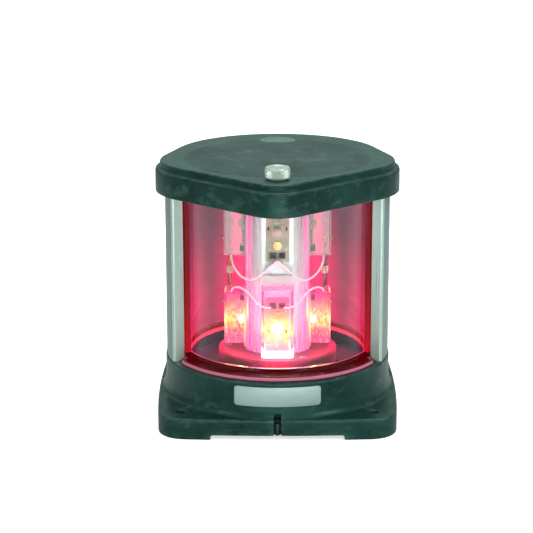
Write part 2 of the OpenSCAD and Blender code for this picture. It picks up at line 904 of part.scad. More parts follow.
base_feet();
base_flange();
base_drum();
base_deck();
base_cover();
base_cover_seal();
base_cover_screws();
nameplate();
centre_mark_pin();
terminal_block();
led_driver();
earth_screw();
gland_body();
gland_nut();
gland_seal();
gland_locknut();
lens();
lens_foot();
lens_base_seal();
lens_top_seal();
lens_side_seals();
rear_shell();
post_left();
post_right();
tie_rods();
tie_nuts();
top_frame();
threaded_bush();
hinge_bracket();
hinge_screws();
hinge_pin();
hinge_leaf();
lid();
lid_rim();
lid_seal_ring();
lid_gasket();
lid_plug();
thumb_screw();
screw_washer();
retaining_ring();
module_disc();
disc_screws();
heat_sink();
upper_boards();
lower_boards();
upper_leds();
lower_leds();
board_screws();
board_connectors();
cover_front_lower();
cover_left_lower();
cover_right_lower();
cover_left_upper();
cover_right_upper();
cover_screws();
module_band();
tent_reflector();
link_wires();
supply_wires();
wire_ferrites();
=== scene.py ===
"""A ship's navigation light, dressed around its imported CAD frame. Metres, +Z up, front is -Y."""
import math

import bmesh
import bpy
from mathutils import Matrix, Vector


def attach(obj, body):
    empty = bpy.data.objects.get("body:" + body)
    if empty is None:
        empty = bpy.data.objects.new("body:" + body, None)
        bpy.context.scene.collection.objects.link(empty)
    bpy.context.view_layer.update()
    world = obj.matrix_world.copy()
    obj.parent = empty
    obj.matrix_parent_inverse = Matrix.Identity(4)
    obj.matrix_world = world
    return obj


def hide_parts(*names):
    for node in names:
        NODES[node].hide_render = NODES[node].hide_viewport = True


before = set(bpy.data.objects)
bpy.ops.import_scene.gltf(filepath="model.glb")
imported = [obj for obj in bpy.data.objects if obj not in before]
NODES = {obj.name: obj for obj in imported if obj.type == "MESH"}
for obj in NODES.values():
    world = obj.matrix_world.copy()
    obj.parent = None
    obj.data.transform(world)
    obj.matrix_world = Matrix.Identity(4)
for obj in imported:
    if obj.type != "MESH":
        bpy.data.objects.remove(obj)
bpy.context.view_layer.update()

MM = 0.001

# ---------------------------------------------------------------- camera

AIM = Vector((0, 0, 0.130))
CAMERA_DISTANCE = 1.80
CAMERA_ELEVATION = math.radians(15)
FOCAL_MM, SENSOR_MM = 126.4, 36
SHIFT_X, SHIFT_Y = -0.0206, 0.0114


def add(name, data):
    """Puts new data into the scene as an object."""
    made = bpy.data.objects.new(name, data)
    bpy.context.scene.collection.objects.link(made)
    return made


def facing(direction):
    """The turn that points a camera or light along a direction."""
    return direction.to_track_quat("-Z", "Y").to_euler()


def add_camera():
    data = bpy.data.cameras.new("camera")
    data.lens = FOCAL_MM
    data.sensor_width = SENSOR_MM
    data.shift_x = SHIFT_X
    data.shift_y = SHIFT_Y
    data.clip_end = 20
    camera = add("camera", data)
    back = Vector((0, -math.cos(CAMERA_ELEVATION), math.sin(CAMERA_ELEVATION)))
    camera.location = AIM + CAMERA_DISTANCE * back
    camera.rotation_euler = facing(-back)
    bpy.context.scene.camera = camera


add_camera()

# ---------------------------------------------------------------- node helpers


class Shader:
    """A short way to write a material's node tree."""

    def __init__(self, name):
        self.material = bpy.data.materials.new(name)
        self.material.use_nodes = True
        self.tree = self.material.node_tree
        self.bsdf = self.tree.nodes["Principled BSDF"]
        self.coords = self.tree.nodes.new("ShaderNodeTexCoord").outputs["Object"]

    def plug(self, node, key, value):
        """Links a socket to an input, or sets the input's own value."""
        if isinstance(value, bpy.types.NodeSocket):
            self.tree.links.new(value, node.inputs[key])
        else:
            node.inputs[key].default_value = value

    def node(self, kind, **inputs):
        made = self.tree.nodes.new(kind)
        for key, value in inputs.items():
            self.plug(made, key, value)
        return made

    def set(self, **values):
        for key, value in values.items():
            self.plug(self.bsdf, key.replace("_", " "), value)

    def emit(self, colour, strength):
        self.set(**{"Emission Color": colour, "Emission Strength": strength})

    def xyz(self):
        """Object coordinates as three separate numbers."""
        return self.node("ShaderNodeSeparateXYZ", Vector=self.coords).outputs

    def scaled(self, scale):
        """Object coordinates stretched by three numbers."""
        mapping = self.node("ShaderNodeMapping", Vector=self.coords)
        mapping.inputs["Scale"].default_value = scale
        return mapping.outputs[0]

    def noise(self, scale, detail=4, roughness=0.55, vector=None):
        made = self.node("ShaderNodeTexNoise", Vector=vector or self.coords, Scale=scale)
        made.inputs["Detail"].default_value = detail
        made.inputs["Roughness"].default_value = roughness
        return made.outputs[0]

    def cells(self, scale, stretch):
        made = self.node("ShaderNodeTexVoronoi", Vector=self.scaled(stretch), Scale=scale)
        return made.outputs[0]

    def span(self, value, low, high, out_low, out_high):
        """Maps low..high to out_low..out_high, and no further."""
        made = self.node("ShaderNodeMapRange")
        made.inputs["From Min"].default_value = low
        made.inputs["From Max"].default_value = high
        made.inputs["To Min"].default_value = out_low
        made.inputs["To Max"].default_value = out_high
        self.plug(made, "Value", value)
        return made.outputs[0]

    def above(self, value, edge, soft, amount=1):
        """0 under an edge and amount over it, changing over edge - soft to edge + soft."""
        return self.span(value, edge - soft, edge + soft, 0, amount)

    def below(self, value, edge, soft, amount=1):
        """Amount under an edge and 0 over it."""
        return self.span(value, edge - soft, edge + soft, amount, 0)

    def mix(self, fac, a, b):
        made = self.tree.nodes.new("ShaderNodeMix")
        made.data_type = "RGBA"
        self.plug(made, "Factor", fac)
        for socket, value in ((made.inputs[6], a), (made.inputs[7], b)):
            if isinstance(value, bpy.types.NodeSocket):
                self.tree.links.new(value, socket)
            else:
                socket.default_value = (*value, 1)
        return made.outputs[2]

    def math(self, operation, a, b=0.0):
        made = self.tree.nodes.new("ShaderNodeMath")
        made.operation = operation
        self.plug(made, 0, a)
        self.plug(made, 1, b)
        return made.outputs[0]

    def times(self, first, *others):
        for other in others:
            first = self.math("MULTIPLY", first, other)
        return first

    def plus(self, a, b):
        return self.math("ADD", a, b)

    def size(self, value):
        """A number without its sign."""
        return self.math("ABSOLUTE", value)

    def off(self, value, centre):
        """How far a number is from a centre, either way."""
        return self.size(self.math("SUBTRACT", value, centre))

    def from_axis(self, x, y):
        """Distance from the object's upright axis."""
        return self.math("SQRT", self.plus(self.times(x, x), self.times(y, y)))

    def bump(self, height, strength, distance, after=None):
        made = self.node("ShaderNodeBump", Height=height, Strength=strength, Distance=distance)
        if after is not None:
            self.plug(made, "Normal", after)
        return made.outputs[0]

    def edges(self):
        """0 to 1 where the surface turns a sharp outer edge."""
        pointiness = self.node("ShaderNodeNewGeometry").outputs["Pointiness"]
        return self.span(pointiness, 0.51, 0.58, 0, 1)


MATERIALS = {}


def material(make):
    """Makes each named material once."""
    def get():
        if make.__name__ not in MATERIALS:
            MATERIALS[make.__name__] = make(Shader(make.__name__)).material
        return MATERIALS[make.__name__]
    return get


# ---------------------------------------------------------------- materials

BLACK = (0, 0, 0)
WHITE = (1, 1, 1)
OPAQUE_WHITE = (1, 1, 1, 1)
ACRYLIC_IOR = 1.47

# places in metres where a material changes
RIM_MARKS_LOW, RIM_MARKS_HIGH = 0.213, 0.227
DOME_EDGE_R, PLATE_Z = 0.088, 0.2422
SLOT_HALF_X, SLOT_BACK_Y, SLOT_TOP_Z = 0.0036, -0.10425, 0.0248
SHELL_INSIDE_R = 0.1056
GLOW_REACH, GLOW_REACH_GAIN = 0.068, 0.020
COLUMN_FLAT_X, COLUMN_STREAK_X, COLUMN_WASH_Z = 0.0154, 0.0265, 0.129
COLUMN_GLINT_X, COLUMN_GLINT_Z = 0.0285, 0.0985
FOOT_STEP_Z = 0.0571
COVER_LED_Z, BOARD_LED_Z = 0.086, 0.083
BLOCK_TOP_Z, BLOCK_HALF_X = 0.067, 0.0175


def cloudy(s, cloud, low, high, smooth, rough):
    """Colour and roughness that follow one soft cloud."""
    s.set(Base_Color=s.mix(cloud, low, high), Roughness=s.span(cloud, 0.3, 0.7, smooth, rough))


def plastic_like(s, dark, light, roughness=0.42, grain=0.25, wear=(0.10, 0.15, 0.14)):
    """Cloudy moulded plastic with a fine grain and scuffed edges; gives its colour."""
    cloud = s.noise(22, 6, 0.62)
    scuffs = s.noise(90, 6, 0.7, s.scaled((1, 1, 3)))
    worn = s.times(s.edges(), s.span(scuffs, 0.42, 0.62, 0, 0.7))
    colour = s.mix(worn, s.mix(s.span(cloud, 0.38, 0.66, 0, 1), dark, light), wear)
    patches = s.noise(28, 6, 0.65)
    fine = s.bump(s.noise(2600, 2, 0.5), grain, 0.0001)
    wavy = s.bump(s.noise(30, 2, 0.5), 0.25, 0.001, fine)
    s.set(Base_Color=colour, Normal=wavy)
    s.set(Roughness=s.span(patches, 0.3, 0.7, roughness - 0.06, roughness + 0.14))
    return colour


@material
def green_plastic(s):
    """Dark green-black moulding: pale marks, more of them low on the lid's rim, a painted highlight
    on the flat ledge around the lid's dome and painted shade in the centre mark's slot."""
    colour = plastic_like(s, (0.002, 0.014, 0.011), (0.008, 0.034, 0.029), 0.28)
    x, y, z = s.xyz()
    rim = s.times(s.above(z, RIM_MARKS_LOW, 0.001, 0.07), s.below(z, RIM_MARKS_HIGH, 0.003))
    clouds = s.noise(55, 7, 0.68, s.scaled((1, 1, 1.6)))
    marks = s.span(s.plus(clouds, rim), 0.55, 0.68, 0, 0.75)
    colour = s.mix(marks, colour, (0.034, 0.068, 0.064))
    # painted highlight: the flat ledge outside the dome is made lighter
    ledge = s.times(s.above(s.from_axis(x, y), DOME_EDGE_R, 0.0004, 0.45),
                    s.above(z, PLATE_Z, 0.0002))
    colour = s.mix(ledge, colour, (0.022, 0.066, 0.052))
    # painted shade: the faces inside the centre mark's slot are made near black
    slot = s.times(s.below(s.size(x), SLOT_HALF_X, 0.00005), s.below(y, SLOT_BACK_Y, 0.00025),
                   s.below(z, SLOT_TOP_Z, 0.0002))
    s.set(Base_Color=s.mix(slot, colour, (0.001, 0.004, 0.003)))
    s.set(**{"Specular IOR Level": 0.3, "Specular Tint": (0.48, 1.0, 0.90, 1)})
    return s


@material
def plug_plastic(s):
    plastic_like(s, (0.058, 0.115, 0.100), (0.075, 0.140, 0.122), 0.40)
    s.set(**{"Specular IOR Level": 0.2})
    return s


@material
def dark_plastic(s):
    plastic_like(s, (0.014, 0.018, 0.018), (0.026, 0.032, 0.030))
    return s


@material
def black_rubber(s):
    plastic_like(s, (0.010, 0.010, 0.010), (0.020, 0.020, 0.020), 0.62, 0.4, (0.05, 0.05, 0.05))
    return s


@material
def black_connector(s):
    plastic_like(s, (0.012, 0.012, 0.013), (0.020, 0.020, 0.022), 0.40)
    return s


@material
def red_seal(s):
    """Clear red strip; its glow where the lit tier's light reaches it is painted light."""
    streaks = s.noise(1, 4, 0.6, s.scaled((700, 700, 9)))
    cloudy(s, streaks, (0.10, 0.001, 0.004), (0.20, 0.004, 0.012), 0.16, 0.30)
    s.set(Normal=s.bump(streaks, 0.2, 0.0002), **{"Specular IOR Level": 0.2})
    # painted glow: strongest low down near the lit tier, fading upward
    lit = s.math("POWER", s.span(s.xyz()[2], 0.050, 0.170, 1, 0), 2.2)
    s.emit(s.mix(lit, (0.16, 0.001, 0.003), (1.0, 0.010, 0.022)), 0.45)
    return s


def metal_like(s, colour, roughness, brush, strength=0.25, metallic=1.0):
    """Metal with a fine brushed grain and rubbed edges; brush stretches the grain."""
    grain = s.noise(1, 4, 0.6, s.scaled(brush))
    tone = s.span(s.noise(9, 4, 0.6), 0.35, 0.7, 0, 1)
    worn = s.times(s.edges(), s.span(grain, 0.4, 0.6, 0, 0.5))
    darker = tuple(0.86 * c for c in colour)
    rubbed = tuple(min(1, 1.35 * c) for c in colour)
    s.set(Base_Color=s.mix(worn, s.mix(tone, colour, darker), rubbed), Metallic=metallic)
    s.set(Roughness=s.span(grain, 0.3, 0.7, roughness * 0.75, roughness * 1.3))
    s.set(Normal=s.bump(grain, strength, 0.00006))
    return s


@material
def shell_aluminium(s):
    """Rolled sheet; the lit tier's red light on the inner face beside the column is painted as a glow.
    """
    metal_like(s, (0.24, 0.28, 0.30), 0.40, (30, 30, 1800), metallic=0.5)
    x, y, z = s.xyz()
    # painted glow: brightest beside the column, wider low down, brighter near the posts, in faint arcs
    aside = s.size(x)
    reach = s.plus(s.times(s.span(z, 0.055, 0.150, 1, 0), GLOW_REACH_GAIN), GLOW_REACH)
    nearness = s.math("MAXIMUM", s.math("SUBTRACT", 1.0, s.math("DIVIDE", aside, reach)), 0.0)
    glow = s.plus(s.times(s.math("POWER", nearness, 1.3), 3.0), 0.06)
    edge = s.times(s.span(aside, 0.070, 0.086, 0, 0.8), s.span(z, 0.070, 0.150, 1, 0))
    arcs = s.span(s.noise(1, 5, 0.6, s.scaled((18, 18, 120))), 0.35, 0.65, 0.82, 1.12)
    glow = s.times(s.plus(glow, edge), s.span(z, 0.12, 0.21, 1, 0.72), arcs)
    lit = s.mix(glow, (0.030, 0.050, 0.065), (1.0, 0.022, 0.17))
    s.emit(s.mix(s.below(s.from_axis(x, y), SHELL_INSIDE_R, 0.0002), BLACK, lit), 1.0)
    s.set(**{"Specular IOR Level": 0.2})
    return s


@material
def post_aluminium(s):
    return metal_like(s, (0.46, 0.57, 0.51), 0.34, (900, 900, 10), 0.5, 0.55)


@material
def steel(s):
    return metal_like(s, (0.62, 0.62, 0.60), 0.32, (500, 500, 500))


@material
def bright_steel(s):
    return metal_like(s, (0.44, 0.50, 0.455), 0.30, (40, 40, 900), 0.03, 0.45)


@material
def pin_steel(s):
    return metal_like(s, (0.05, 0.07, 0.065), 0.45, (400, 400, 400))


@material
def brass(s):
    return metal_like(s, (0.72, 0.52, 0.24), 0.30, (600, 600, 600))


@material
def disc_aluminium(s):
    return metal_like(s, (0.27, 0.065, 0.12), 0.36, (700, 700, 80), 0.2, 0.35)


@material
def plate_metal(s):
    return metal_like(s, (0.32, 0.42, 0.405), 0.42, (50, 50, 2500), 0.06, 0.3)


@material
def column_aluminium(s):
    """Extruded column; the lit tier's pink wash and a yellow glint on each round face are painted
    light.
    """
    metal_like(s, (0.82, 0.96, 0.94), 0.26, (1500, 1500, 10), 0.05, 0.5)
    x, _, z = s.xyz()
    aside = s.size(x)
    # painted light: pink streaks on the round faces, a pink wash low down and a yellow glint, as
    # emission
    streak = s.span(s.off(aside, COLUMN_STREAK_X), 0.0012, 0.0034, 0.80, 0.12)
    upper = s.times(s.above(aside, COLUMN_FLAT_X, 0.0006), streak)
    wash = s.math("MAXIMUM", upper, s.below(z, COLUMN_WASH_Z, 0.011, 0.8))
    glint = s.times(s.span(s.off(aside, COLUMN_GLINT_X), 0, 0.0014, 1, 0),
                    s.span(s.off(z, COLUMN_GLINT_Z), 0.003, 0.013, 1, 0))
    s.emit(s.mix(glint, s.mix(wash, BLACK, (1.0, 0.035, 0.37)), (1.6, 1.1, 0.15)), 0.72)
    s.set(Roughness=s.span(s.noise(1, 3, 0.5, s.scaled((160, 160, 4))), 0.3, 0.7, 0.26, 0.34))
    return s


@material
def lens_glass(s):
    """Clear plastic whose red tint deepens with the length of the light's path."""
    s.set(Base_Color=OPAQUE_WHITE, IOR=1.33, **{"Transmission Weight": 1.0})
    s.set(Roughness=s.span(s.noise(160, 3, 0.5), 0.4, 0.7, 0, 0.012))
    s.set(Normal=s.bump(s.noise(16, 2, 0.5), 0.08, 0.0008))
    volume = s.node("ShaderNodeVolumeAbsorption", Color=(1.0, 0.38, 0.44, 1), Density=14)
    s.tree.links.new(volume.outputs[0], s.tree.nodes["Material Output"].inputs["Volume"])
    return s


@material
def foot_glass(s):
    """The foot ring carries the red light around the lens; its colours and glow are painted light."""
    z = s.xyz()[2]
    cloud = s.noise(30, 4, 0.6)
    # painted light: a pale pink, glowing outer face and a deep red top face
    upper = s.above(z, FOOT_STEP_Z, 0.0005)
    s.set(Base_Color=s.mix(upper, (0.50, 0.15, 0.235), (0.040, 0.0003, 0.0006)), IOR=ACRYLIC_IOR)
    s.set(Roughness=s.span(cloud, 0.3, 0.7, 0.05, 0.12), Normal=s.bump(cloud, 0.1, 0.0006))
    s.set(**{"Transmission Weight": 0.12, "Specular IOR Level": 0.14})
    s.emit(s.mix(upper, (1.0, 0.25, 0.36), (0.30, 0, 0.003)), 0.07)
    return s


def prisms(s, colour, haze, strength):
    """A moulded optic with fine prisms across its faces; gives the pattern."""
    cells = s.cells(380, (1, 1, 0.45))
    s.set(Base_Color=colour, IOR=ACRYLIC_IOR, **{"Transmission Weight": 1.0})
    s.set(Roughness=s.span(cells, 0.2, 0.8, 0.01, haze), Normal=s.bump(cells, strength, 0.0006))
    return cells


@material
def clear_acrylic(s):
    prisms(s, OPAQUE_WHITE, 0.05, 0.15)
    # painted light: a faint white glow
    s.emit(OPAQUE_WHITE, 0.05)
    return s


@material
def lit_acrylic(s):
    """The optic with a burning LED behind it; its pink tint, glow and glints, and a bright patch at
    the foot of the front one, are painted light.
    """
    # painted light: a pink tint in the optic
    cells = prisms(s, (1.0, 0.80, 0.88, 1), 0.06, 0.25)
    x, _, z = s.xyz()
    # painted light: glow near the LED, glints up high and a bright patch at the foot of the front
    # optic
    near = s.math("POWER", s.span(s.off(z, COVER_LED_Z), 0, 0.024, 1, 0), 2.0)
    sparkle = s.times(near, s.span(cells, 0.15, 0.6, 1, 0.15))
    glints = s.times(s.span(s.noise(330, 3, 0.7, s.scaled((1, 1, 0.5))), 0.57, 0.68, 0, 1),
                     s.span(z, 0.092, 0.100, 0.9, 0.12))
    block = s.times(s.below(z, BLOCK_TOP_Z, 0.0005), s.below(s.size(x), BLOCK_HALF_X, 0.0005))
    lit = s.mix(glints, s.mix(sparkle, (0.16, 0.006, 0.05), (1.5, 0.85, 0.04)), (0.95, 0.45, 0.62))
    s.emit(s.mix(block, lit, (1.1, 0.72, 0.95)), 0.8)
    return s


@material
def board_coat(s):
    mottled = s.noise(260, 4, 0.6)
    patches = s.span(mottled, 0.35, 0.65, 0, 1)
    s.set(Base_Color=s.mix(patches, (0.60, 0.53, 0.38), (0.72, 0.66, 0.52)))
    s.set(Roughness=s.span(mottled, 0.3, 0.7, 0.35, 0.5), Normal=s.bump(mottled, 0.2, 0.0001))
    return s


@material
def lit_board(s):
    """Board of the lit tier; its pink colour, red glow and yellow halo around each LED are painted
    light.
    """
    mottled = s.noise(260, 4, 0.6)
    z = s.xyz()[2]
    # painted light: pink colour, a red glow and a yellow halo around each LED
    halo = s.math("POWER", s.span(s.off(z, BOARD_LED_Z), 0.004, 0.026, 1, 0), 1.3)
    s.set(Base_Color=s.mix(mottled, (0.66, 0.30, 0.34), (0.78, 0.42, 0.46)), Roughness=0.4)
    s.set(Normal=s.bump(mottled, 0.2, 0.0001))
    s.emit(s.mix(halo, (0.50, 0.05, 0.18), (1.4, 0.95, 0.05)), 0.9)
    return s


@material
def white_plastic(s):
    cloudy(s, s.noise(60, 4, 0.6), (0.86, 0.88, 0.90), (0.92, 0.94, 0.96), 0.3, 0.45)
    s.set(Normal=s.bump(s.noise(900, 2), 0.1, 0.0001))
    return s


@material
def cream_silicone(s):
    cloud = s.noise(400, 3, 0.6)
    cloudy(s, cloud, (0.84, 0.78, 0.56), (0.92, 0.88, 0.70), 0.12, 0.22)
    s.set(Normal=s.bump(cloud, 0.1, 0.0001), **{"Subsurface Weight": 0.2})
    return s


@material
def lit_red(s):
    """A burning LED."""
    cloud = s.noise(500, 3, 0.6)
    s.set(Base_Color=(1.0, 0.25, 0.15, 1), Roughness=s.span(cloud, 0.3, 0.7, 0.2, 0.3))
    s.emit(s.mix(cloud, (1.0, 0.76, 0.30), (1.0, 0.82, 0.40)), 9.0)
    return s


def insulation(s, low, high):
    cloud = s.noise(700, 3)
    cloudy(s, cloud, low, high, 0.25, 0.4)
    s.set(Normal=s.bump(cloud, 0.1, 0.0001))
    return s


@material
def wire_white(s):
    insulation(s, (0.85, 0.85, 0.83), (0.93, 0.93, 0.92))
    # painted light: a faint white glow
    s.emit(OPAQUE_WHITE, 0.22)
    return s


@material
def wire_orange(s):
    return insulation(s, (0.80, 0.25, 0.05), (0.92, 0.34, 0.10))


@material
def wire_grey(s):
    return insulation(s, (0.20, 0.22, 0.23), (0.28, 0.30, 0.31))


@material
def ferrite_pale(s):
    cloud = s.noise(500, 4)
    cloudy(s, cloud, (0.70, 0.55, 0.42), (0.85, 0.75, 0.62), 0.4, 0.6)
    s.set(Normal=s.bump(cloud, 0.3, 0.0002))
    return s


# ---------------------------------------------------------------- mesh helpers

SMOOTH_UNDER = 38  # degrees between faces that still shade as one surface


def polar(radius, degrees):
    a = math.radians(degrees)
    return radius * math.cos(a), radius * math.sin(a)


def arc(centre, radius, start, end, steps):
    """Points of an arc in plan, from one direction to another, in degrees."""
    points = []
    for i in range(steps + 1):
        x, y = polar(radius, start + (end - start) * i / steps)
        points.append((centre[0] + x, centre[1] + y))
    return points


def finish_mesh(mesh, sharp):
    """Welds a mesh, turns its faces outward and shades it smooth up to an angle."""
    work = bmesh.new()
    work.from_mesh(mesh)
    bmesh.ops.remove_doubles(work, verts=work.verts, dist=1e-7)
    bmesh.ops.recalc_face_normals(work, faces=work.faces)
    work.to_mesh(mesh)
    work.free()
    mesh.shade_smooth()
    mesh.set_sharp_from_angle(angle=math.radians(sharp))


def build(name, points, faces, sharp):
    mesh = bpy.data.meshes.new(name)
    mesh.from_pydata(points, [], faces)
    finish_mesh(mesh, sharp)
    return add(name, mesh)


def loft(name, rings, sharp=SMOOTH_UNDER, capped=True):
    """A mesh through rings of the same number of points, in millimetres."""
    count = len(rings[0])
    points = [Vector(p) * MM for ring in rings for p in ring]
    faces = []
    for i in range(len(rings) - 1):
        for k in range(count):
            n = (k + 1) % count
            low, high = i * count, (i + 1) * count
            faces.append((low + k, low + n, high + n, high + k))
    if capped:
        faces.append(tuple(reversed(range(count))))
        faces.append(tuple((len(rings) - 1) * count + k for k in range(count)))
    return build(name, points, faces, sharp)


def lathe(name, profile, sides=96, centre=(0, 0), sharp=SMOOTH_UNDER, wobble=None):
    """Turns (radius, height) points about a vertical axis; wobble(angle, r, z) gives the radius."""
    rings = []
    for r, z in profile + [profile[0]]:
        ring = []
        for k in range(sides):
            degrees = 360 * k / sides
            x, y = polar(wobble(degrees, r, z) if wobble else r, degrees)
            ring.append((centre[0] + x, centre[1] + y, z))
        rings.append(ring)
    return loft(name, rings, sharp, capped=False)


def box(name, low, high, radius=0.0):
    """A box between two corners, with round vertical edges if a radius is given."""
    x0, y0, z0 = low
    x1, y1, z1 = high
    if radius:
        plan = []
        for cx, cy, start in ((x1, y1, 0), (x0, y1, 90), (x0, y0, 180), (x1, y0, 270)):
            inset_x = -radius if cx == x1 else radius
            inset_y = -radius if cy == y1 else radius
            plan += arc((cx + inset_x, cy + inset_y), radius, start, start + 90, 5)
    else:
        plan = [(x1, y1), (x0, y1), (x0, y0), (x1, y0)]
    return loft(name, [[(x, y, z) for x, y in plan] for z in (z0, z1)])


def joined(name, parts, sharp=SMOOTH_UNDER):
    """One object of several, which are removed."""
    points, faces = [], []
    for part in parts:
        start = len(points)
        points += [part.matrix_world @ v.co for v in part.data.vertices]
        faces += [tuple(start + i for i in f.vertices) for f in part.data.polygons]
        bpy.data.objects.remove(part)
    return build(name, points, faces, sharp)


def carve(target, cutter, operation="DIFFERENCE"):
    """Cuts target with cutter, or adds it, and removes cutter."""
    modifier = target.modifiers.new("carve", "BOOLEAN")
    modifier.operation = operation
    modifier.solver = "EXACT"
    modifier.object = cutter
    graph = bpy.context.evaluated_depsgraph_get()
    result = bpy.data.meshes.new_from_object(target.evaluated_get(graph))
    target.modifiers.remove(modifier)
    target.data = result
    bpy.data.objects.remove(cutter)


def dress(mesh, look):
    mesh.materials.clear()
    mesh.materials.append(look())


def place(target, body, slot, look, *nodes):
    """Dresses a piece, puts it on its body and hides the CAD nodes that it stands for."""
    dress(target.data, look)
    if target.type == "MESH":
        even = target.modifiers.new("even", "WEIGHTED_NORMAL")
        even.keep_sharp = True
    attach(target, body)
    if nodes:
        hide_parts(*nodes)


# ---------------------------------------------------------------- lid

# the plan's three arcs: centre x, centre y, radius
NOSE, SIDE, BACK = (0, -97, 30), (50.5, -3, 65.2), (0, 24, 104.5)
SCREW_AT, PLUG_AT = (0, -97), (0, 84)
PLATE_TOP, SEAT_TOP = 242.5, 242.7
DOME_R, DOME_FOOT, DOME_RISE = 87.2, 243.0, 3.5
SCREW_HOLE_R, POCKET_R, PLUG_R = 3.4, 17.9, 17.4


def tangent(a, b):
    """Direction in which a line that touches two arcs leaves the first."""
    dx, dy = b[0] - a[0], b[1] - a[1]
    return math.degrees(math.atan2(dy, dx) - math.acos((a[2] - b[2]) / math.hypot(dx, dy)))


def straight(a, b, steps):
    """Points between the end of one run and the start of the next."""
    return [tuple(Vector(a[-1]).lerp(Vector(b[0]), i / steps)) for i in range(1, steps)]


def lid_plan(grow, z):
    """The lid's outline, grown or shrunk, at one height."""
    front, rear = tangent(NOSE, SIDE), tangent(SIDE, BACK)
    nose = arc(NOSE, NOSE[2] + grow, -90, front, 14)
    side = arc(SIDE, SIDE[2] + grow, front, rear, 26)
    back = arc(BACK, BACK[2] + grow, rear, 90, 26)
    half = nose + straight(nose, side, 12) + side + straight(side, back, 4) + back
    plan = half + [(-x, y) for x, y in reversed(half[1:-1])]
    return [(x, y, z) for x, y in plan]


def circle_like(ring, radius, z):
    """A circle with its points in the directions of another ring's points."""
    made = []
    for x, y, _ in ring:
        d = math.hypot(x, y)
        made.append((x / d * radius, y / d * radius, z))
    return made


def make_lid():
    """The shell runs from the seal's groove over the rim and plate to the dome."""
    edge = [(-8, 238.5), (-8, 232.5), (-3.5, 232.5), (-3.5, 213.7), (-3.2, 213.2), (-2.6, 213),
            (-1.0, 213), (-0.45, 213.15), (-0.12, 213.5), (0, 214.2), (0, 223), (-0.05, 231.5),
            (-0.1, 233.2), (-0.45, 234.5), (-1.1, 235.4), (-2.0, 235.85), (-3.1, 236.0),
            (-3.8, 236.2), (-4.3, 236.7), (-4.5, 237.6), (-4.55, 240.7), (-4.8, 241.6),
            (-5.3, 242.2), (-6.1, 242.47), (-7.0, PLATE_TOP), (-9, PLATE_TOP)]
    rings = [lid_plan(grow, z) for grow, z in edge]
    rim = rings[-1]
    for r, z in ((88.4, PLATE_TOP), (87.9, 242.75), (DOME_R, DOME_FOOT)):
        rings.append(circle_like(rim, r, z))
    for r in (84, *range(78, 5, -8)):
        rings.append(circle_like(rim, r, DOME_FOOT + DOME_RISE * (1 - (r / DOME_R) ** 2)))
    shell = loft("lid_shell", rings, 50)
    seat = [(12.5, 239.5), (12.5, 242.3), (12.3, 242.6), (12.0, SEAT_TOP), (0.5, SEAT_TOP),
            (0.5, 239.5)]
    carve(shell, lathe("seat", seat, 64, SCREW_AT), "UNION")
    # an odd number of sides keeps the hole's corners off the seat's
    hole = [(0.01, 225), (SCREW_HOLE_R, 225), (SCREW_HOLE_R, 260), (0.01, 260)]
    carve(shell, lathe("hole", hole, 43, SCREW_AT))
    # the plug's pocket has a narrow gap around it
    pocket = [(0.01, PLATE_TOP), (POCKET_R, PLATE_TOP), (POCKET_R, 244.5), (18.2, 252), (0.01, 252)]
    carve(shell, lathe("pocket", pocket, 72, PLUG_AT))
    finish_mesh(shell.data, 35)
    place(shell, "lid_body", "moulded_plastic", green_plastic, "lid", "lid_rim")
    plug = [(0.01, PLATE_TOP), (PLUG_R, PLATE_TOP), (PLUG_R, 243.1), (17.2, 243.3), (16.8, 243.4),
            (10, 243.55), (0.01, 243.6)]
    place(lathe("lid_plug_disc", plug, 72, PLUG_AT), "lid_body", "plug_plastic", plug_plastic,
          "lid_plug")


# ---------------------------------------------------------------- base

FLANGE_HALF, FLANGE_CORNER, FLANGE_SIDE, FLANGE_TOP = 114.5, 26, 1200, 20
DRUM_R, DRUM_TOP, WELL_R = 108, 53.5, 84
FOOT_SPREAD, FOOT_RISE = 5.0, 16
BOLT_AT, BOLT_R = 90, 4.5
ARCH_HALF, ARCH_TOP, ARCH_CORNER, ARCH_REACH = 62, 5, 2.6, 150
SLOT_HALF, SLOT_DEEP_Y, SLOT_FOOT_Y, SLOT_OUT_Y = 3.5, -111, -105.8, -125
GLAND_Z, GLAND_BORE_R = 31, 8


def flange_plan():
    """The flange's outline: four slightly bowed sides with round corners."""
    far = FLANGE_SIDE - FLANGE_HALF
    corner = (math.sqrt(2 * (FLANGE_SIDE - FLANGE_CORNER) ** 2 - far * far) - far) / 2
    reach = math.degrees(math.atan2(corner, corner + far))
    edge = arc((-far, 0), FLANGE_SIDE, -reach, reach, 30)
    edge += arc((corner, corner), FLANGE_CORNER, reach + 5, 85 - reach, 14)
    plan = []
    for c, s in ((1, 0), (0, 1), (-1, 0), (0, -1)):
        plan += [(x * c - y * s, x * s + y * c) for x, y in edge]
    return plan


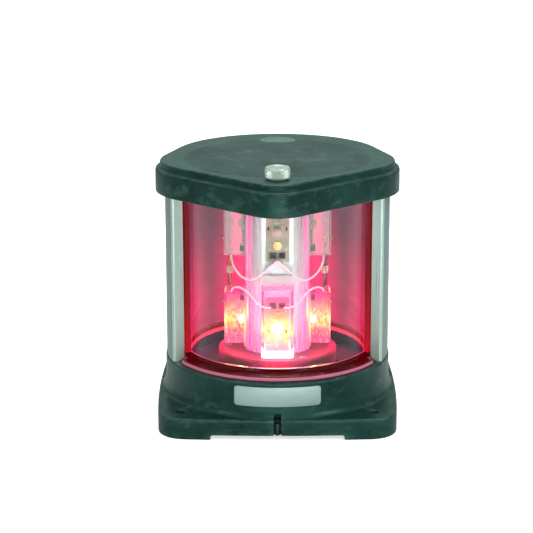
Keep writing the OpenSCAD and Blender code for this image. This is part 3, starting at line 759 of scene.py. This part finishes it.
def base_rings():
    """Rings up the flange, over the drum's flared foot, up the drum and down its well."""
    plan = flange_plan()

    def ring(reach, z):
        """Reach turns the outline's distance from the axis into the ring's."""
        made = []
        for x, y in plan:
            r = math.hypot(x, y)
            made.append((x / r * reach(r), y / r * reach(r), z))
        return made

    def flange(inset, z):
        return ring(lambda r: r - inset, z)

    def drum(radius, z, inset=1.6):
        return ring(lambda r: min(radius, r - inset), z)

    rings = [flange(inset, z) for inset, z in (
        (2.4, 0), (1.1, 0.3), (0.35, 1.0), (0, 2.4), (0, 9), (0, 17.2),
        (0.2, 18.4), (0.8, 19.3), (1.6, 19.8), (2.5, FLANGE_TOP))]
    rings.append(ring(lambda r: min(r - 2.6, (r - 3.0) * 0.5 + 113.2 * 0.5), FLANGE_TOP))
    for degrees in range(0, 91, 10):
        across, up = polar(1, degrees)
        radius, z = DRUM_R + FOOT_SPREAD * (1 - up), FLANGE_TOP + FOOT_RISE * (1 - across)
        rings.append(drum(radius, z, 2.6))
    rings += [drum(radius, z) for radius, z in (
        (DRUM_R, 42), (DRUM_R, 49), (DRUM_R, 51.2), (107.85, 52.1), (107.4, 52.9),
        (106.8, 53.35), (106, DRUM_TOP), (104.6, DRUM_TOP), (84.8, DRUM_TOP), (84.2, 53.3),
        (WELL_R, 52.8), (WELL_R, 44))]
    return rings


def make_base():
    body = loft("base_body", base_rings(), 50)
    to_rear = Matrix.Translation((0, 0, GLAND_Z * MM)) @ Matrix.Rotation(math.radians(-90), 4, "X")
    pad = [(0.01, 96), (12, 96), (12, 110.6), (11.8, 111), (11.4, 111.2), (0.01, 111.2)]
    boss = lathe("pad", pad, 64)
    boss.data.transform(to_rear)
    carve(body, boss, "UNION")
    cavity = [(0.01, -2), (88.6, -2), (88.0, 0.6), (88.0, 11.5), (WELL_R, 11.5), (WELL_R, 41),
              (0.01, 41)]
    carve(body, lathe("cavity", cavity, 144))

    corner = (-ARCH_HALF + ARCH_CORNER, ARCH_TOP - ARCH_CORNER)
    section = [(-ARCH_HALF, -3)] + arc(corner, ARCH_CORNER, 180, 90, 6)
    section += [(-x, z) for x, z in reversed(section)]
    ends = (-ARCH_REACH, ARCH_REACH)
    carve(body, loft("arch", [[(x, y, z) for x, z in section] for y in ends]))
    carve(body, loft("arch", [[(x, y, z) for y, z in section] for x in ends]))

    bolt = [(0.01, -1), (BOLT_R, -1), (BOLT_R, 19.0), (4.7, 19.6), (5.4, 20.1), (5.4, 24),
            (0.01, 24)]
    for x in (-BOLT_AT, BOLT_AT):
        for y in (-BOLT_AT, BOLT_AT):
            carve(body, lathe("bolt", bolt, 40, (x, y)))
    for inner, low, high in ((SLOT_DEEP_Y, -1, 22), (SLOT_FOOT_Y, 19.3, 24.5)):
        carve(body, box("slot", (-SLOT_HALF, inner, low), (SLOT_HALF, SLOT_OUT_Y, high)))
    # an odd number of sides keeps the bore's corners off the drum's
    bore = lathe("bore", [(0.01, 78), (GLAND_BORE_R, 78), (GLAND_BORE_R, 120), (0.01, 120)], 37)
    bore.data.transform(to_rear)
    carve(body, bore)
    carve(body, lathe("wires", [(0.01, 38), (10, 38), (10, 46), (0.01, 46)], 48))
    finish_mesh(body.data, 32)
    place(body, "lantern_body", "moulded_plastic", green_plastic,
          "base_feet", "base_flange", "base_drum", "base_deck")


# ---------------------------------------------------------------- lens

LENS_R, LENS_IN = 90, 85
FOOT_FRONT_ANGLE, FOOT_BACK_R = 63, 95.5  # the foot ring is full only in front


def make_lens():
    wall = [(LENS_IN, 61.6), (89.7, 61.6)]
    wall += [(LENS_R, z) for z in (62, 62.4, 64, 100, 170, 211, 213, 213.4)]
    wall += [(89.4, 214), (85.6, 214)]
    wall += [(LENS_IN, z) for z in (213.4, 213, 211, 170, 100, 64, 62)]
    place(lathe("lens_wall", wall, 192, sharp=60), "lantern_body", "lens_acrylic", lens_glass,
          "lens")

    def foot_radius(degrees, r, z):
        from_front = abs((degrees + 90 + 180) % 360 - 180)
        return r if from_front < FOOT_FRONT_ANGLE else min(r, FOOT_BACK_R)

    foot = [(LENS_IN, 53.6), (102.0, 53.6), (102.7, 53.9), (103, 54.6), (103, 56.6), (102.6, 57.3),
            (101.8, 57.6), (100.2, 57.7), (98, 57.95), (96, 58.4), (94, 59.0), (92.4, 59.8),
            (91.2, 60.6), (90.4, 61.4), (LENS_IN, 61.45)]
    place(lathe("lens_foot_ring", foot, 240, sharp=60, wobble=foot_radius), "lantern_body",
          "lens_acrylic", foot_glass, "lens_foot")


# ---------------------------------------------------------------- thumb screw

KNURLS, KNURL_DEPTH = 60, 0.55
KNURL_FROM_R, KNURL_LOW, KNURL_HIGH = 11.2, 244.7, 252.6
SHANK_R, THREAD_ROOT_R, THREAD_STEP = 3, 2.65, 0.5


def make_thumb_screw():
    def knurled(degrees, r, z):
        if r < KNURL_FROM_R or not KNURL_LOW < z < KNURL_HIGH:
            return r
        phase = degrees / 360 * KNURLS % 1
        return r - KNURL_DEPTH * abs(2 * phase - 1)

    head = [(0.01, 243.73), (10.4, 243.73), (10.9, 243.95), (11.1, 244.4), (11.5, 244.9),
            (11.5, 248), (11.5, 252.2), (11.1, 252.8), (11.0, 253.3), (10.6, 253.8), (9.9, 254),
            (8.2, 254), (7.9, 253.75), (0.01, 253.7)]
    top = lathe("head", head, KNURLS * 6, SCREW_AT, sharp=30, wobble=knurled)
    shank = [(0.01, 217.5), (2.2, 217.5), (SHANK_R, 218.3)]
    shank += [(SHANK_R if i % 2 else THREAD_ROOT_R, 219 + THREAD_STEP * i) for i in range(12)]
    shank += [(SHANK_R, 225.9), (2.5, 226), (2.5, 227), (SHANK_R, 227.1), (SHANK_R, 244.2),
              (0.01, 244.2)]
    made = joined("thumb_screw_turned", [top, lathe("shank", shank, 40, SCREW_AT)], 30)
    place(made, "screw_body", "polished_steel", bright_steel, "thumb_screw")


# ---------------------------------------------------------------- LED module

BOARD_FRONT = 32.1
# heights of the small board parts from the module's middle: chip, solder ring, dark part, solder blob
BOARD_PARTS = (55.5, 41, 50, 30)
MID_Z, LED_FROM_MID = 131.5, 47.5
DOME_BASE_R, LED_R, LED_Z, LED_RISE = 4.6, 4.5, 2.0, 3.4
FACES = (0, -90, 90)  # front, left, right
WIRE_R = 0.9


def on_board(target, face, z, x=0.0):
    """Stands a piece turned about Z on one face's boards, pointing outward."""
    target.data.transform(Matrix.Translation((x * MM, -BOARD_FRONT * MM, z * MM))
                          @ Matrix.Rotation(math.radians(90), 4, "X"))
    target.data.transform(Matrix.Rotation(math.radians(face), 4, "Z"))
    return target


def square_base():
    return box("base", (-5.4, -5.4, 0), (5.4, 5.4, 1.2), 0.7)


def round_base():
    return lathe("base", [(0.01, 0), (5.2, 0), (5.4, 0.2), (5.4, 1.0), (5.2, 1.2), (0.01, 1.2)], 48)


def make_leds():
    dome = [(0.01, 1.0), (DOME_BASE_R, 1.0), (DOME_BASE_R, LED_Z)]
    for a in range(0, 90, 6):
        across, up = polar(1, a)
        dome.append((LED_R * across, LED_Z + LED_RISE * up))
    dome.append((0.01, LED_Z + LED_RISE))
    for tier, side, base, slot, look in (("upper", 1, square_base, "led_white", cream_silicone),
                                         ("lower", -1, round_base, "led_red", lit_red)):
        z = MID_Z + side * LED_FROM_MID
        parts = []
        for face in FACES:
            parts += [on_board(part, face, z) for part in (base(), lathe("dome", dome, 48))]
        place(joined(tier + "_led_domes", parts), "lantern_body", slot, look, tier + "_leds")


def make_board_parts():
    """Small generic components and solder rings on the six boards."""
    ring = [(1.0, 0), (1.9, 0), (1.9, 0.12), (1.0, 0.12)]
    blob = [(0.01, 0), (1.1, 0), (1.0, 0.25), (0.01, 0.3)]
    white, dark = [], []
    for face in FACES:
        for tier in (1, -1):
            chip_z, ring_z, dark_z, blob_z = (MID_Z + tier * offset for offset in BOARD_PARTS)
            white.append(on_board(box("part", (-2.4, -1.3, 0), (2.4, 1.3, 1.3), 0.3), face, chip_z))
            white.append(on_board(lathe("pad", ring, 32), face, ring_z))
            for side in (-1, 1):
                small = box("part", (-0.8, -1.6, 0), (0.8, 1.6, 0.7), 0.1)
                dark.append(on_board(small, face, dark_z, side * 8.4))
                white.append(on_board(lathe("pad", blob, 24), face, blob_z, side * 8))
    place(joined("board_white_parts", white), "lantern_body", "white_plastic", white_plastic)
    place(joined("board_dark_parts", dark), "lantern_body", "connector_black", black_connector)


def wire(name, points):
    curve = bpy.data.curves.new(name, "CURVE")
    curve.dimensions = "3D"
    curve.bevel_depth = WIRE_R * MM
    curve.bevel_resolution = 4
    curve.use_fill_caps = True
    spline = curve.splines.new("NURBS")
    spline.points.add(len(points) - 1)
    for point, p in zip(spline.points, points):
        point.co = (*(MM * c for c in p), 1)
    spline.order_u = 4
    spline.use_endpoint_u = True
    spline.resolution_u = 8
    return add(name, curve)


# the left wires' routes; the right ones mirror them
UPPER_LINK = [(-44, -10, 150.5), (-44, -14, 146), (-40, -24, 139), (-33, -33, 134), (-25, -40, 133),
              (-19, -43, 136), (-15, -44, 140), (-10, -44.5, 145), (-5, -45, 150)]
LOWER_LINK = [(-44, -14, 116), (-43, -18, 120), (-39, -25, 123.5), (-33, -33, 124), (-27, -39, 121),
              (-22, -44, 116), (-18, -49, 112), (-13, -52, 110), (-6, -52, 110)]
SUPPLY = [(-45, -6, 150.5), (-46, -6, 146), (-46, -6, 138), (-45.6, -6, 130), (-44.4, -6, 120),
          (-44, -6, 114.5)]


def make_wires():
    for name, route, slot, left_look, right_look, node in (
            ("upper_link", UPPER_LINK, "wire_white", wire_white, wire_white, "link_wires"),
            ("lower_link", LOWER_LINK, "wire_white", wire_white, wire_white, "link_wires"),
            ("supply", SUPPLY, "wire_orange", wire_orange, wire_grey, "supply_wires")):
        mirrored = [(-x, y, z) for x, y, z in route]
        place(wire(name + "_left", route), "lantern_body", slot, left_look, node)
        place(wire(name + "_right", mirrored), "lantern_body", slot, right_look, node)


# ---------------------------------------------------------------- CAD nodes that stay

WELD_DISTANCE, FLAT_ANGLE, ROUND_ANGLE = 1e-6, 0.6, 35


def bevelled(node, width):
    """Rounds the sharp edges of a CAD node without changing its mesh."""
    target = NODES[node]
    weld = target.modifiers.new("weld", "WELD")
    weld.merge_threshold = WELD_DISTANCE
    flat = target.modifiers.new("flat", "DECIMATE")
    flat.decimate_type = "DISSOLVE"
    flat.angle_limit = math.radians(FLAT_ANGLE)
    soft = target.modifiers.new("soft", "BEVEL")
    soft.width = width * MM
    soft.segments = 2
    soft.limit_method = "ANGLE"
    soft.angle_limit = math.radians(ROUND_ANGLE)
    soft.harden_normals = True


LOOKS = {
    green_plastic: ["lid_seal_ring"],
    dark_plastic: ["base_cover", "top_frame", "gland_body", "gland_nut", "gland_locknut"],
    black_rubber: ["base_cover_seal", "gland_seal", "lens_base_seal", "lens_top_seal", "lid_gasket"],
    red_seal: ["lens_side_seals"],
    steel: ["base_cover_screws", "tie_rods", "tie_nuts", "hinge_bracket", "hinge_screws", "hinge_leaf",
            "screw_washer", "disc_screws", "retaining_ring", "hinge_pin", "led_driver"],
    plate_metal: ["nameplate"],
    pin_steel: ["centre_mark_pin"],
    white_plastic: ["terminal_block", "module_band", "tent_reflector"],
    brass: ["earth_screw", "threaded_bush", "cover_screws", "board_screws"],
    shell_aluminium: ["rear_shell"],
    post_aluminium: ["post_left", "post_right"],
    disc_aluminium: ["module_disc"],
    column_aluminium: ["heat_sink"],
    board_coat: ["upper_boards"],
    lit_board: ["lower_boards"],
    black_connector: ["board_connectors"],
    clear_acrylic: ["cover_left_upper", "cover_right_upper"],
    lit_acrylic: ["cover_front_lower", "cover_left_lower", "cover_right_lower"],
    ferrite_pale: ["wire_ferrites"],
}

# width of the rounded edges in millimetres
ROUNDED = {
    "base_cover": 0.5, "gland_body": 0.4, "gland_nut": 0.4, "gland_locknut": 0.3, "top_frame": 0.5,
    "base_cover_screws": 0.2, "tie_rods": 0.3, "tie_nuts": 0.3, "hinge_bracket": 0.3,
    "hinge_screws": 0.15, "hinge_leaf": 0.3, "hinge_pin": 0.3, "screw_washer": 0.2,
    "disc_screws": 0.2, "led_driver": 0.5, "nameplate": 0.12, "centre_mark_pin": 0.2,
    "terminal_block": 0.5, "module_band": 0.5, "tent_reflector": 0.4, "cover_screws": 0.15,
    "board_screws": 0.3, "rear_shell": 0.3, "post_left": 0.25, "post_right": 0.25,
    "module_disc": 0.3, "upper_boards": 0.15, "lower_boards": 0.15, "board_connectors": 0.2,
    "wire_ferrites": 0.4, "threaded_bush": 0.3, "lens_side_seals": 0.5, "lid_seal_ring": 0.4,
    "lid_gasket": 0.3,
}

for look, names in LOOKS.items():
    for name in names:
        dress(NODES[name].data, look)

for name, width in ROUNDED.items():
    bevelled(name, width)

make_lid()
make_base()
make_lens()
make_thumb_screw()
make_leds()
make_board_parts()
make_wires()

# ---------------------------------------------------------------- floor and light

FLOOR_REACH = 6
FLOOR_SEEN, FLOOR_REFLECTED, FLOOR_GLOW = (0.93, 0.93, 0.93), (0.48, 0.52, 0.51), 0.62
SKY_LOW, SKY_HIGH, SKY_HIGH_AT = (0.20, 0.24, 0.23, 1), (0.72, 0.88, 0.82, 1), 0.42
SKY_STRENGTH, SKY_SEEN_STRENGTH = 0.8, 1.05
LIGHT_TARGET, FRONT_TARGET = (0, 0, 0.12), (0, 0, 0.13)
LIT_TIER_Z = 0.086
TIER_RED, DEEP_RED = (1.0, 0.04, 0.22), (1.0, 0.03, 0.08)


def add_light(name, kind, location, power, colour=WHITE, target=LIGHT_TARGET, **settings):
    data = bpy.data.lights.new(name, kind)
    data.energy = power
    data.color = colour
    for key, value in settings.items():
        setattr(data, key, value)
    light = add(name, data)
    light.location = location
    light.rotation_euler = facing(Vector(target) - Vector(location))
    light.visible_camera = False
    if kind == "POINT":
        light.visible_transmission = False
        light.visible_glossy = False


def add_floor():
    """White to the camera; darker to reflections, which keeps a grey veil off the lens."""
    a = FLOOR_REACH
    mesh = bpy.data.meshes.new("floor")
    mesh.from_pydata([(-a, -a, 0), (a, -a, 0), (a, a, 0), (-a, a, 0)], [], [(0, 1, 2, 3)])
    floor = add("floor", mesh)
    s = Shader("floor_paint")
    seen = s.node("ShaderNodeLightPath").outputs["Is Camera Ray"]
    s.set(Base_Color=s.mix(seen, FLOOR_REFLECTED, FLOOR_SEEN), Roughness=0.9)
    s.set(**{"Specular IOR Level": 0.1})
    s.emit(s.mix(seen, BLACK, WHITE), FLOOR_GLOW)
    mesh.materials.append(s.material)


def add_world():
    """White to the camera; around the object, grey with a brighter top for soft reflections."""
    world = bpy.data.worlds.new("studio")
    bpy.context.scene.world = world
    world.use_nodes = True
    tree = world.node_tree
    background = tree.nodes["Background"]
    coords = tree.nodes.new("ShaderNodeTexCoord")
    split = tree.nodes.new("ShaderNodeSeparateXYZ")
    ramp = tree.nodes.new("ShaderNodeValToRGB")
    tree.links.new(coords.outputs["Generated"], split.inputs[0])
    tree.links.new(split.outputs[2], ramp.inputs[0])
    low, high = ramp.color_ramp.elements
    low.position, low.color = 0.0, SKY_LOW
    high.position, high.color = SKY_HIGH_AT, SKY_HIGH
    tree.links.new(ramp.outputs[0], background.inputs["Color"])
    background.inputs["Strength"].default_value = SKY_STRENGTH
    seen = tree.nodes.new("ShaderNodeBackground")
    seen.inputs["Color"].default_value = OPAQUE_WHITE
    seen.inputs["Strength"].default_value = SKY_SEEN_STRENGTH
    path = tree.nodes.new("ShaderNodeLightPath")
    choose = tree.nodes.new("ShaderNodeMixShader")
    tree.links.new(path.outputs["Is Camera Ray"], choose.inputs[0])
    tree.links.new(background.outputs[0], choose.inputs[1])
    tree.links.new(seen.outputs[0], choose.inputs[2])
    tree.links.new(choose.outputs[0], tree.nodes["World Output"].inputs["Surface"])


add_floor()
add_world()
add_light("key_left", "AREA", (-1.5, -1.2, 1.2), 6, size=0.9)
add_light("key_right", "AREA", (1.5, -1.2, 1.1), 15, size=0.8)
add_light("low_front", "AREA", (0.0, -1.15, 0.06), 3.6, target=FRONT_TARGET,
          shape="RECTANGLE", size=1.3, size_y=0.08)
add_light("top", "AREA", (0, 0.3, 1.8), 26, size=1.2)
add_light("front", "AREA", (0.0, -2.2, 1.3), 9, size=0.5)

# the lit tier's red light, thrown forward and sideways inside the lens, and from behind the column
for name, x, y in (("glow_front", 0, -0.064), ("glow_left", -0.062, -0.004),
                   ("glow_right", 0.062, -0.004)):
    add_light(name, "POINT", (x, y, LIT_TIER_Z), 0.9, TIER_RED, shadow_soft_size=0.006)
for x in (-0.048, 0.048):
    add_light("glow_rear", "POINT", (x, 0.034, 0.10), 0.50, DEEP_RED, shadow_soft_size=0.008)

bpy.context.scene.view_settings.view_transform = "Standard"
